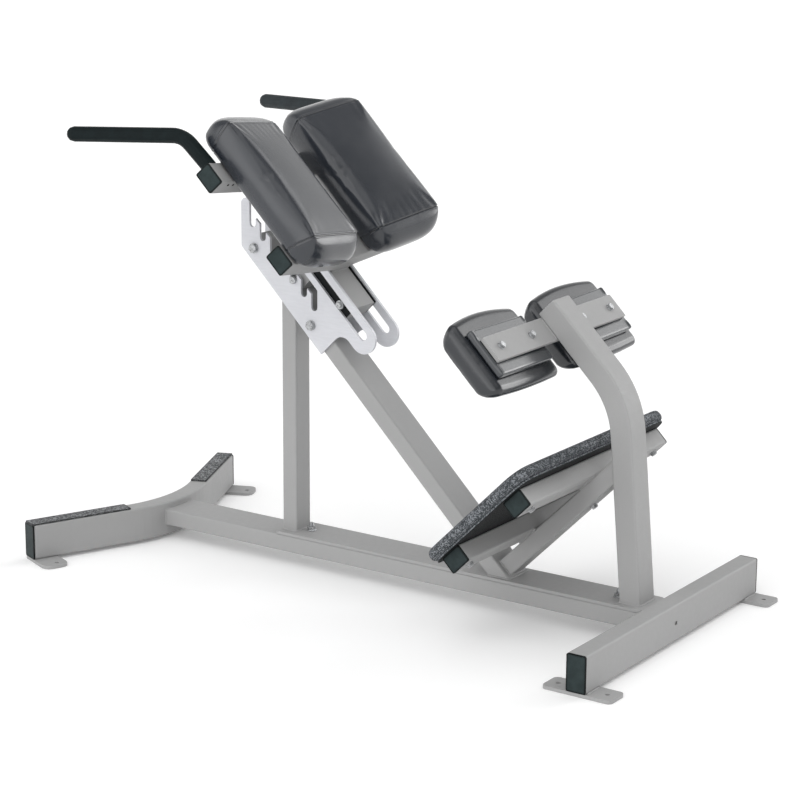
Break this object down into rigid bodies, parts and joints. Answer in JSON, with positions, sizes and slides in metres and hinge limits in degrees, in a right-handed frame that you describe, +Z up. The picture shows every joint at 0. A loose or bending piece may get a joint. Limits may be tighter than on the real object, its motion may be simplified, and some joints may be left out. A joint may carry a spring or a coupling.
{
  "type": "hyperextension bench",
  "caption": "Low steel bench with split sloping hip pads and hand grips on a notched sliding carriage, ankle pads on a bent post and a sloping foot board.",
  "frame": {"origin": "on the floor, under the middle of the bench's overall length, on its middle plane", "axes": "+Z up; +X along the base rail, from the hand grips towards the ankle pads; +Y across the bench, which is the same on both sides of Y = 0"},
  "size_m": [1.4816, 0.74, 0.9931],
  "materials": {
    "frame_paint": "satin light grey powder coat",
    "plate_paint": "smooth silver grey paint",
    "steel": "zinc plated fasteners",
    "black_plastic": "black moulded plastic",
    "grip_rubber": "matt black grip sleeve",
    "tape_rubber": "rough black anti-slip strip",
    "pad_vinyl": "satin slate grey upholstery vinyl",
    "tread_rubber": "speckled dark grey tread cover",
    "board_black": "black painted board"
  },
  "bodies": {
    "base": {"base_rail": "frame_paint", "mount_strip": "frame_paint", "front_foot": "frame_paint", "rear_crossbar": "frame_paint", "rear_foot_plate_near": "frame_paint", "rear_foot_plate_far": "frame_paint", "front_tab_near": "frame_paint", "front_tab_far": "frame_paint", "rear_cap_near": "black_plastic", "rear_cap_far": "black_plastic", "front_cap_near": "black_plastic", "front_cap_far": "black_plastic", "front_strip_near": "tape_rubber", "front_strip_far": "tape_rubber", "strip_bolt_front": "steel", "strip_bolt_rear": "steel", "front_post": "frame_paint", "diagonal_tube": "frame_paint", "foot_strut": "frame_paint", "foot_tube_upper": "frame_paint", "foot_tube_lower": "frame_paint", "foot_cap_upper_near": "black_plastic", "foot_cap_upper_far": "black_plastic", "foot_cap_lower_near": "black_plastic", "foot_cap_lower_far": "black_plastic", "foot_board": "board_black", "foot_tread": "tread_rubber", "rear_post": "frame_paint", "ankle_bar": "frame_paint", "ankle_bolt_near_inner": "steel", "ankle_bolt_near_outer": "steel", "ankle_bolt_far_inner": "steel", "ankle_bolt_far_outer": "steel", "ankle_board_near": "pad_vinyl", "ankle_board_far": "pad_vinyl", "ankle_pad_near": "pad_vinyl", "ankle_pad_far": "pad_vinyl", "side_plate_near": "plate_paint", "side_plate_far": "plate_paint", "plate_bolt_upper": "steel", "plate_bolt_lower": "steel"},
    "guide": {"guide_bolt": "steel"},
    "carriage": {"notch_pin": "steel", "carriage_tube": "frame_paint", "glide_near": "black_plastic", "glide_far": "black_plastic", "pin_bracket": "frame_paint", "pad_tube_upper": "frame_paint", "pad_tube_lower": "frame_paint", "pad_cap_upper_near": "black_plastic", "pad_cap_upper_far": "black_plastic", "pad_cap_lower_near": "black_plastic", "pad_cap_lower_far": "black_plastic", "hip_board_near": "board_black", "hip_board_far": "board_black", "hip_pad_near": "pad_vinyl", "hip_pad_far": "pad_vinyl", "handle_near": "grip_rubber", "handle_far": "grip_rubber"}
  },
  "joints": [
    {"name": "guide_slide", "type": "slide", "parent": "base", "child": "guide", "axis": [-0.7071, 0, 0.7071], "range_m": [0, 0.0123]},
    {"name": "pad_lift", "type": "hinge", "parent": "guide", "child": "carriage", "pos_m": [-0.10166, 0, 0.59821], "axis": [0, 1, 0], "range_deg": [0, 10]}
  ],
  "couplings": [
    {"joint": "guide_slide", "follows": "pad_lift", "m_per_rad": 0.07}
  ]
}
